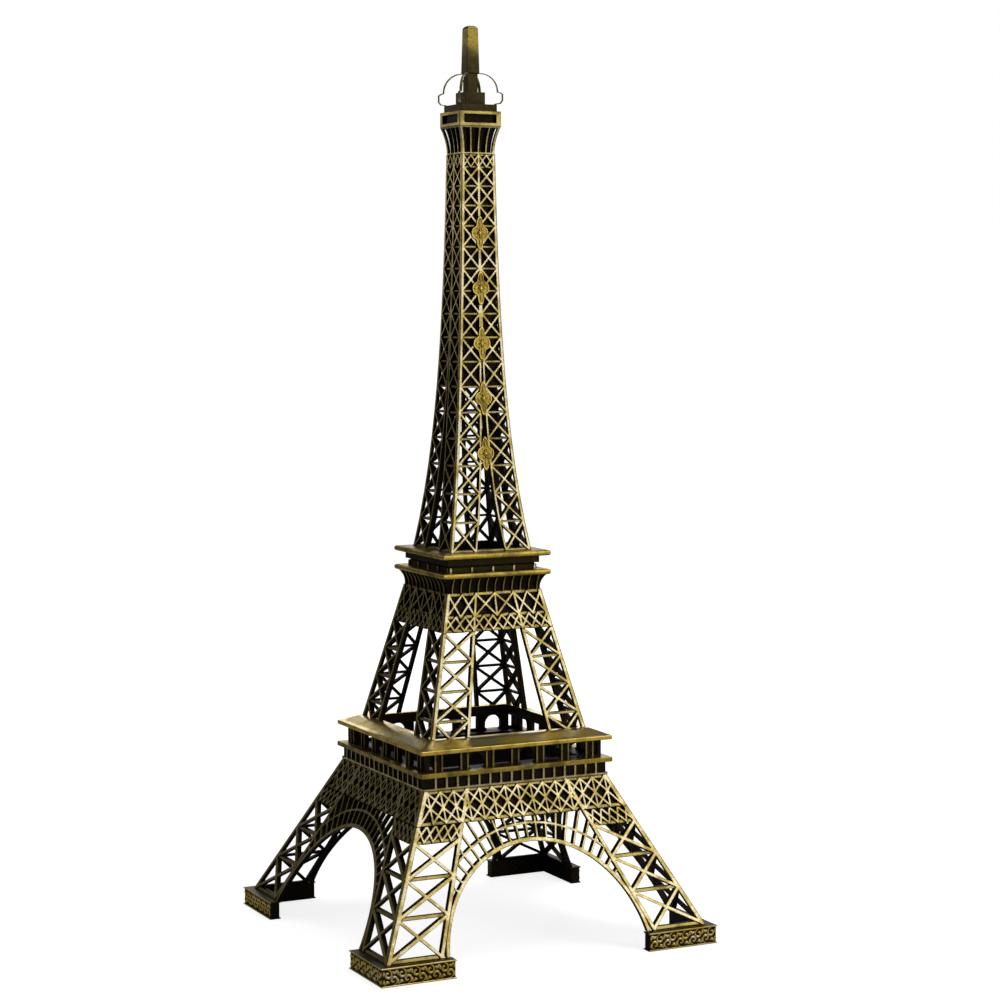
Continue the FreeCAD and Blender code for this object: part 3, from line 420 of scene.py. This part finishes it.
class Brass(Nodes):
    """Antique brass: rubbed bright on the faces that look outwards, dark in its depths, and darkened
    near its edges as painted shade of their rounding.
    """

    def __init__(self, name):
        super().__init__(name)
        spot = self.add("SeparateXYZ")
        self.feed(spot.inputs[0], self.add("TexCoord").outputs["Object"])
        x, y, self.z = (spot.outputs[axis] for axis in "XYZ")
        # A normal bevelled over the edges steers only the colour masks: near an edge it turns from the
        # outside, and the colour darkens there as painted shade of a curved bar.
        edge_shade_normal = self.add("Bevel", samples=6)
        edge_shade_normal.inputs["Radius"].default_value = EDGE_SHADE_RADIUS
        looks = self.add("SeparateXYZ")
        self.feed(looks.inputs[0], edge_shade_normal.outputs["Normal"])
        far_x = self.maths("ABSOLUTE", x)
        far_y = self.maths("ABSOLUTE", y)
        self.reach = self.maths("MAXIMUM", far_x, far_y)
        out_x = self.maths("MULTIPLY", looks.outputs["X"], self.maths("SIGN", x))
        out_y = self.maths("MULTIPLY", looks.outputs["Y"], self.maths("SIGN", y))
        chosen = self.add("Mix", data_type="FLOAT")
        self.feed(chosen.inputs[0], self.maths("GREATER_THAN", far_x, far_y))
        self.feed(chosen.inputs[2], out_y)
        self.feed(chosen.inputs[3], out_x)
        self.outward = chosen.outputs[0]
        self.upward = looks.outputs["Z"]
        self.patches = self.noise(PATCH_SIZE, 3, 0.6)
        self.speckle = self.noise(SPECKLE_SIZE, 2, 0.6)

    def depth(self, profile):
        """Millimetres behind the outer face, whose half width follows a profile of height."""
        low, high = profile[0][0], profile[-1][0]
        widest = max(half for level, half in profile)
        height = self.maths("MULTIPLY", self.z, 1 / MM)
        share = self.maths("DIVIDE", self.maths("SUBTRACT", height, low), high - low)
        curve = self.add("FloatCurve")
        points = curve.mapping.curves[0].points
        while len(points) < len(profile):
            points.new(0.5, 0.5)
        for point, (level, half) in zip(points, profile):
            point.location = ((level - low) / (high - low), half / widest)
            point.handle_type = "VECTOR"
        curve.mapping.update()
        self.feed(curve.inputs["Value"], share)
        half = self.maths("MULTIPLY", curve.outputs["Value"], widest)
        return self.maths("SUBTRACT", half, self.maths("MULTIPLY", self.reach, 1 / MM))

    def facing(self, lean=0.0):
        """How squarely the surface looks out of its side, which leans back by an angle."""
        tilt = math.radians(lean)
        level = self.maths("MULTIPLY", self.outward, math.cos(tilt))
        return self.maths("ADD", level, self.maths("MULTIPLY", self.upward, math.sin(tilt)))

    def finish(self, wear_and_shade, rough_dark=0.55, rough_bright=0.36, grain=0.3, metal=GOLD):
        """Mixes patina and metal by a mask of rubbed wear and of painted shade near edges; the brightest
        spots turn pale gold as a painted highlight.
        """
        mottled = self.maths("MULTIPLY", wear_and_shade, self.spread(self.patches, 0.30, 0.60, 0.62, 1.0))
        mottled = self.maths("MULTIPLY", mottled, self.spread(self.speckle, 0.25, 0.55, 0.72, 1.0))
        dark = self.mix(self.spread(self.speckle, 0.48, 0.72), PATINA, BROWN)
        tone = self.mix(self.spread(mottled, 0.0, 0.35), dark, OLIVE)
        tone = self.mix(self.spread(mottled, 0.2, 0.8), tone, metal)
        # The brightest spots turn pale gold as a painted highlight
        tone = self.mix(self.spread(mottled, 0.75, 1.05), tone, PAINTED_HIGHLIGHT_GOLD)
        roughness = self.spread(mottled, 0, 1, rough_dark, rough_bright)
        self.feed(self.shader.inputs["Base Color"], tone)
        self.feed(self.shader.inputs["Roughness"], roughness)
        self.shader.inputs["Metallic"].default_value = 1.0
        self.bump(self.speckle, grain, PIT_DEPTH)
        return self.material


def lattice_brass(name, profile, lean=0.0, skin=(0.25, 0.95), bright=1.0):
    """Bars bright outside and dim on their flanks; plates and inner faces dark."""
    brass = Brass(name)
    depth = brass.depth(profile)
    outer = brass.spread(depth, *skin, 1.0, 0.0)
    # Only faces that look squarely out stay bright, which leaves painted shade along the bars' curved
    # edges.
    facing = brass.spread(brass.facing(lean), 0.78, 1.0)
    front = brass.maths("MULTIPLY", facing, outer)
    flanks = brass.maths("MULTIPLY", brass.spread(depth, 0.0, 0.8, 1.0, 0.0), 0.20)
    wear_and_shade = brass.maths("MAXIMUM", front, flanks)
    return brass.finish(brass.maths("MULTIPLY", wear_and_shade, bright))


def stud_brass(name, profile):
    """A dark wall on which only the short studs along its foot are bright."""
    brass = Brass(name)
    outer = brass.spread(brass.depth(profile), 0.9, 1.1, 1.0, 0.0)
    facing = brass.spread(brass.facing(), 0.72, 0.98)
    top = profile[0][0] * MM + STUD_TOP
    foot = brass.spread(brass.z, top, top + STUD_FADE, 1.0, 0.12)
    front = brass.maths("MULTIPLY", facing, outer)
    return brass.finish(brass.maths("MULTIPLY", front, foot))


def floor_brass(name, profile, shelf, worn_top, rim_highlight):
    """Satin gold plates: a painted highlight round the rim, and bright on top as far in as the shelf
    reaches.
    """
    brass = Brass(name)
    depth = brass.depth(profile)
    top = brass.spread(brass.upward, 0.2, 0.9, 0.0, worn_top)
    shown = brass.maths("MULTIPLY", top, brass.spread(depth, shelf, shelf + 0.4, 1.0, 0.0))
    # Faces round the rim that look outwards carry a painted highlight
    side = brass.spread(brass.outward, 0.2, 0.8, 0.0, rim_highlight)
    rim = brass.maths("MULTIPLY", side, brass.spread(depth, 1.0, 1.4, 1.0, 0.0))
    return brass.finish(brass.maths("MAXIMUM", shown, rim), 0.5, 0.30, 0.10, RICH_GOLD)


def crown_brass(name):
    """Roof, neck and spire: gold at the spire's head, dark towards the roof."""
    brass = Brass(name)
    low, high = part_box("spire")
    gold_from = low.z + 0.75 * (high.z - low.z)
    height = brass.spread(brass.z, low.z, gold_from, 0.16, 0.44)
    facing = brass.spread(brass.outward, 0.1, 0.9, 0.5, 1.0)
    return brass.finish(brass.maths("MULTIPLY", height, facing), 0.5, 0.3, 0.15, RICH_GOLD)


def rib_brass(name):
    """The thin crown strips, bright all over."""
    brass = Brass(name)
    return brass.finish(brass.spread(brass.patches, 0.2, 0.6, 0.75, 1.0), 0.5, 0.34, 0.1)


def plinth_brass(name, profile):
    """Gold ornament over a dark recess, with dark tops and inner faces."""
    brass = Brass(name)
    outer = brass.spread(brass.depth(profile), 0.15, RECESS / MM, 1.0, 0.12)
    shown = brass.maths("MULTIPLY", outer, brass.spread(brass.facing(), 0.0, 0.5))
    top = brass.spread(brass.upward, 0.5, 0.9, 0.0, 0.16)
    return brass.finish(brass.maths("MAXIMUM", shown, top), 0.5, 0.34, 0.2, RICH_GOLD)


def medallion_brass(name, profile):
    """Gold rims, petals and bosses over a darker field."""
    brass = Brass(name)
    rise = brass.maths("MULTIPLY", brass.depth(profile), -MM / PLATE_RISE)
    height = brass.spread(rise, 0.45, 1.0, 0.5, 0.85)
    shown = brass.maths("MULTIPLY", height, brass.spread(brass.facing(), 0.1, 0.8))
    return brass.finish(shown, 0.5, 0.34, 0.15, RICH_GOLD)


# The CAD nodes that are shown as they are

def nodes_starting(*starts):
    return sorted(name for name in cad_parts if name.startswith(starts))


def soften(node, width):
    """Rounds the sharp edges of a CAD node as a casting's are."""
    weld = node.modifiers.new("weld", "WELD")
    weld.merge_threshold = MERGE_DISTANCE
    bevel = node.modifiers.new("round_edges", "BEVEL")
    bevel.width = width
    bevel.segments = EDGE_SEGMENTS
    bevel.limit_method = "ANGLE"
    bevel.angle_limit = SHARP_ANGLE
    bevel.use_clamp_overlap = False
    shade = node.modifiers.new("even_shading", "WEIGHTED_NORMAL")
    shade.weight = FLAT_FACE_WEIGHT


def finish_node(name, material):
    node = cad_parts[name]
    if not node.data.materials:
        node.data.materials.append(material)
    for slot in node.material_slots:
        slot.material = material


def finish_group(names, material, width):
    """Gives nodes a material, and edges rounded by a width in millimetres."""
    for name in names:
        finish_node(name, material)
        soften(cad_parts[name], width * MM)


def finish_lower_storeys():
    face = corner_profile(nodes_starting("leg_", "frieze_"))
    brass = lattice_brass("leg_brass", face, lean_of(face))
    finish_group(nodes_starting("leg_"), brass, 0.1)
    finish_group(nodes_starting("frieze_"), brass, 0.08)
    finish_group(nodes_starting("arch_"), brass, 0.1)
    middle = nodes_starting("mid_")
    face = corner_profile(middle)
    finish_group(middle, lattice_brass("mid_brass", face, lean_of(face)), 0.08)


def finish_shaft():
    shaft = nodes_starting("shaft_panel")
    finish_group(shaft, lattice_brass("shaft_brass", corner_profile(shaft), SHAFT_LEAN), 0.08)
    cage = nodes_starting("flared_cage")
    finish_group(cage, lattice_brass("cage_brass", corner_profile(cage), CAGE_LEAN), 0.08)


def finish_walls():
    for start, (skin, width, bright) in WALLS.items():
        names = nodes_starting(start)
        brass = lattice_brass(start + "_brass", straight_profile(names), 0, skin, bright)
        finish_group(names, brass, width)
    cove = nodes_starting("second_floor_cove")
    brass = lattice_brass("cove_brass", cove_profile(cove), COVE_LEAN, (0.15, 0.5), 0.8)
    finish_group(cove, brass, 0.08)
    wall = nodes_starting("second_floor_wall")
    finish_group(wall, stud_brass("wall_brass", straight_profile(wall)), 0.1)


def finish_floors():
    for name, wear in FLOORS.items():
        brass = floor_brass(name + "_brass", straight_profile([name]), *wear)
        finish_group([name], brass, 0.12)


def finish_crown():
    crown = nodes_starting("lantern_roof", "roof_block", "spire")
    finish_group(crown, crown_brass("crown_brass"), 0.15)
    finish_group(nodes_starting("crown_rib"), rib_brass("rib_brass"), 0.05)


# Pieces made here in place of plainer CAD nodes

def strand(mesh, path, on_face, width=STRAND, height=RECESS):
    """A half-round ridge that runs along a path on a face, thinner at its ends."""
    rings = []
    last = len(path) - 1
    for number, here in enumerate(path):
        ahead = path[min(number + 1, last)]
        behind = path[max(number - 1, 0)]
        along = (ahead - behind).normalized()
        across = Vector((-along.y, along.x))
        taper = min(1.0, STRAND_TIP + STRAND_SWELL * min(number, last - number) / len(path))
        ring = []
        for side in range(STRAND_SIDES + 1):
            angle = math.pi * side / STRAND_SIDES
            at = here + across * math.cos(angle) * width * taper / 2
            rise = height * taper * math.sin(angle) - STRAND_SINK
            ring.append(mesh.verts.new(on_face(at.x, at.y, rise)))
        rings.append(ring)
    join_rings(mesh, rings)


def join_rings(mesh, rings):
    """Closes a body whose sides run from ring to ring, with a face over each end."""
    for lower, upper in zip(rings, rings[1:]):
        count = len(lower)
        for step in range(count):
            after = (step + 1) % count
            mesh.faces.new((lower[step], lower[after], upper[after], upper[step]))
    mesh.faces.new(rings[0][::-1])
    mesh.faces.new(rings[-1])


def shrunk(outline, inset):
    """An outline run counter-clockwise whose sides are all moved inwards by an inset."""
    moved = []
    for before, here, after in zip(outline[-1:] + outline, outline, outline[1:] + outline[:1]):
        first = (here - before).normalized()
        second = (after - here).normalized()
        moved.append(here + inset * (Vector((-first.y, first.x)) + Vector((-second.y, second.x))))
    return moved


def plinth_body(mesh, low, high):
    """An L-shaped bar with a recessed band between a lower and an upper rim."""
    near, far = low.x, high.x
    inside = near + PLINTH_WIDTH
    corners = ((near, near), (far, near), (far, inside), (inside, inside), (inside, far), (near, far))
    outline = [Vector(corner) for corner in corners]
    soft = RIM_SOFTNESS
    levels = (
        (low.z, soft),
        (low.z + soft, 0),
        (low.z + RIM - soft, 0),
        (low.z + RIM, soft),
        (low.z + RIM, RECESS),
        (high.z - RIM, RECESS),
        (high.z - RIM, soft),
        (high.z - RIM + soft, 0),
        (high.z - soft, 0),
        (high.z, soft),
    )
    rings = []
    for z, inset in levels:
        rings.append([mesh.verts.new((at.x, at.y, z)) for at in shrunk(outline, inset)])
    join_rings(mesh, rings)


def scroll(centre, radius, start, hand):
    """Points of a spiral that winds in from its outer end."""
    points = []
    for step in range(SCROLL_STEPS + 1):
        share = step / SCROLL_STEPS
        angle = start + hand * share * SCROLL_TURNS * 2 * math.pi
        reach = radius * (1 - SCROLL_WIND * share)
        points.append(centre + reach * Vector((math.cos(angle), math.sin(angle))))
    return points


def scroll_and_leaf(mesh, middle, cell, radius, hand, on_face):
    """One scroll of a pair with its leaf. The other scroll is this one turned half round."""
    def spot(place_on_band):
        aside, up = place_on_band
        return middle + hand * Vector((aside * cell, up * radius))

    start = math.radians(-90 * hand)
    strand(mesh, scroll(spot(EYE_PLACE), radius, start, hand), on_face)
    root = spot(LEAF_ROOT)
    tip = spot(LEAF_TIP)
    bend = (tip + root) / 2 - hand * Vector((0, LEAF_BEND * radius))
    leaf = [root.lerp(bend, step / LEAF_STEPS) for step in range(LEAF_STEPS)]
    leaf += [bend.lerp(tip, step / LEAF_STEPS) for step in range(LEAF_STEPS + 1)]
    strand(mesh, leaf, on_face, LEAF_WIDTH)


def ornament(mesh, length, low, high, on_face):
    """A row of paired scrolls with leaves, and upright beads before, between and after the pairs."""
    band = high - low
    cell = length / SCROLLS
    radius = band * SCROLL_RADIUS
    for pair in range(SCROLLS):
        middle = Vector(((pair + 0.5) * cell, (low + high) / 2))
        for hand in (-1, 1):
            scroll_and_leaf(mesh, middle, cell, radius, hand, on_face)
    for joint in range(SCROLLS + 1):
        for up in (low + BEAD_HEIGHT * band, high - BEAD_HEIGHT * band):
            steps = range(-BEAD_STEPS, BEAD_STEPS + 1)
            bead = [Vector((joint * cell, up + step * BEAD_STEP * radius)) for step in steps]
            strand(mesh, bead, on_face, BEAD_WIDTH)


def lobed(angle, half_width, half_height):
    """A point on a lobed outline, lengthened upwards."""
    swell = 1 - LOBE_DEPTH + LOBE_DEPTH * math.cos(LOBES * angle)
    return Vector((half_width * swell * math.cos(angle), half_height * swell * math.sin(angle)))


def medallion(mesh, half_width, half_height, on_face):
    """A lobed plate with a raised rim, petals and a domed boss."""
    levels = (
        (1.0, -PLATE_SINK),
        (1.0, PLATE_RISE * 0.7),
        (0.96, PLATE_RISE),
        (0.89, PLATE_RISE),
        (0.85, FIELD_RISE),
        (0.30, FIELD_RISE),
        (0.27, PLATE_RISE * 1.1),
        (0.18, PLATE_RISE * 1.5),
        (0.08, PLATE_RISE * 1.65),
    )
    rings = []
    for share, rise in levels:
        ring = []
        for step in range(MEDALLION_STEPS):
            angle = 2 * math.pi * step / MEDALLION_STEPS
            at = share * lobed(angle, half_width, half_height)
            ring.append(mesh.verts.new(on_face(at.x, at.y, rise)))
        rings.append(ring)
    join_rings(mesh, rings)

    def on_field(across, up, rise):
        return on_face(across, up, rise + FIELD_RISE)

    for petal in range(PETALS):
        edge = lobed(2 * math.pi * petal / PETALS, half_width, half_height)
        steps = range(PETAL_STEPS + 1)
        path = [edge * (PETAL_START + PETAL_LENGTH * step / PETAL_STEPS) for step in steps]
        strand(mesh, path, on_field, PETAL_WIDTH, PETAL_HEIGHT)


def finish_piece(mesh, name, material, node):
    """Turns a bmesh into a piece that stands for a node of the tower."""
    bmesh.ops.recalc_face_normals(mesh, faces=mesh.faces)
    data = bpy.data.meshes.new(name)
    mesh.to_mesh(data)
    mesh.free()
    data.shade_smooth()
    data.materials.append(material)
    piece = bpy.data.objects.new(name, data)
    bpy.context.collection.objects.link(piece)
    creases = piece.modifiers.new("creases", "EDGE_SPLIT")
    creases.split_angle = CREASE_ANGLE
    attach(piece, "root")
    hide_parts(node)


def shaft_front(profile, low, high):
    """Lays points on the shaft's leaning front, from the middle of a stretch of it."""
    middle = (low.z + high.z) / 2
    centre = Vector((0, -half_at(profile, middle / MM) * MM, middle))
    above = half_at(profile, high.z / MM) * MM
    below = half_at(profile, low.z / MM) * MM
    upward = Vector((0, below - above, high.z - low.z)).normalized()
    outward = Vector((0, -upward.z, upward.y))

    def on_face(across, up, rise):
        return centre + Vector((across, 0, 0)) + up * upward + rise * outward

    return on_face


def make_medallions():
    """The five ornaments that lie on the front of the shaft, one for each CAD rosette."""
    profile = corner_profile(nodes_starting("shaft_panel"))
    material = medallion_brass("medallion_brass", profile)
    for node in nodes_starting("shaft_rosette"):
        low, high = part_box(node)
        mesh = bmesh.new()
        half_width = (high.x - low.x) / 2
        half_height = (high.z - low.z) / 2
        medallion(mesh, half_width, half_height, shaft_front(profile, low, high))
        name = node.replace("shaft_rosette", "medallion")
        finish_piece(mesh, name, material, node)


def plinth_side(low, swapped):
    """Lays points on the recessed band of one outer side of a plinth, or of the other if swapped."""
    def on_face(along, up, rise):
        spot = (low.x + ORNAMENT_MARGIN + along, low.x + RECESS - rise, up)
        return (spot[1], spot[0], up) if swapped else spot

    return on_face


def make_plinths():
    """The four plinths, whose outer faces have a band of scrolls between two rims."""
    low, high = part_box("plinth_front_left")
    length = high.x - low.x - 2 * ORNAMENT_MARGIN
    material = plinth_brass("plinth_brass", straight_profile(nodes_starting("plinth_")))
    for turn, corner in enumerate(("front_left", "front_right", "back_right", "back_left")):
        mesh = bmesh.new()
        plinth_body(mesh, low, high)
        for swapped in (False, True):
            ornament(mesh, length, low.z + RIM, high.z - RIM, plinth_side(low, swapped))
        mesh.transform(Matrix.Rotation(math.radians(90 * turn), 4, "Z"))
        name = f"scrolled_plinth_{corner}"
        finish_piece(mesh, name, material, f"plinth_{corner}")


make_camera()
make_studio()
make_floor()
finish_lower_storeys()
finish_shaft()
finish_walls()
finish_floors()
finish_crown()
make_plinths()
make_medallions()
